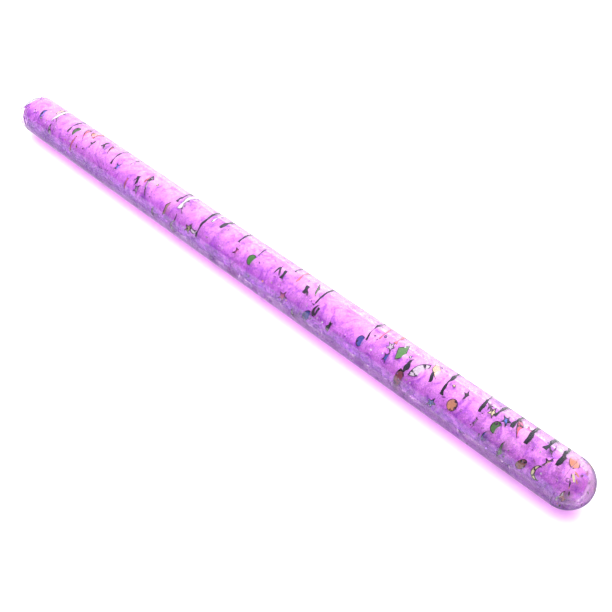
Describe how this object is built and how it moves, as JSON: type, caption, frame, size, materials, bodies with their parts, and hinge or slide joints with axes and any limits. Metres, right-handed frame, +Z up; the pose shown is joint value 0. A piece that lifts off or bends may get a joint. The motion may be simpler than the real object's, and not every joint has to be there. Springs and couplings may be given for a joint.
{
  "type": "liquid glitter wand",
  "caption": "Sealed clear tube with two domed ends, full of purple liquid with an air bubble, loose foil moons, stars, leaves, diamonds, spangles and strips, and fine glitter.",
  "frame": {"origin": "on the surface the wand lies on, under the middle of the tube", "axes": "+X along the tube towards the near dome, +Z up, the far dome with the bubble at -X"},
  "size_m": [0.317, 0.019, 0.019],
  "materials": {
    "clear_shell": "polished clear plastic",
    "plug": "smooth",
    "liquid": "clear tinted liquid",
    "gold_foil": "mirror foil",
    "silver_foil": "mirror foil",
    "navy_foil": "mirror foil",
    "blue_foil": "mirror foil",
    "pink_foil": "mirror foil",
    "red_foil": "mirror foil",
    "green_foil": "mirror foil",
    "orange_foil": "mirror foil",
    "violet_foil": "mirror foil"
  },
  "bodies": {
    "shell": {"tube": "clear_shell", "near_cap": "clear_shell", "far_cap": "clear_shell", "fill_plug": "plug"},
    "filling": {"liquid": "liquid", "gold_moons": "gold_foil", "silver_moons": "silver_foil", "navy_moons": "navy_foil", "gold_stars": "gold_foil", "silver_stars": "silver_foil", "blue_stars": "blue_foil", "pink_stars": "pink_foil", "navy_stars": "navy_foil", "green_diamonds": "green_foil", "gold_diamonds": "gold_foil", "silver_leaves": "silver_foil", "red_leaves": "red_foil", "navy_strips": "navy_foil", "red_strips": "red_foil", "silver_strips": "silver_foil", "green_discs": "green_foil", "orange_discs": "orange_foil", "blue_discs": "blue_foil", "silver_glitter": "silver_foil", "gold_glitter": "gold_foil", "violet_glitter": "violet_foil"}
  },
  "joints": [
    {"name": "fill_swirl", "type": "hinge", "parent": "shell", "child": "filling", "pos_m": [0, 0, 0.0095], "axis": [1, 0, 0], "continuous": true}
  ]
}
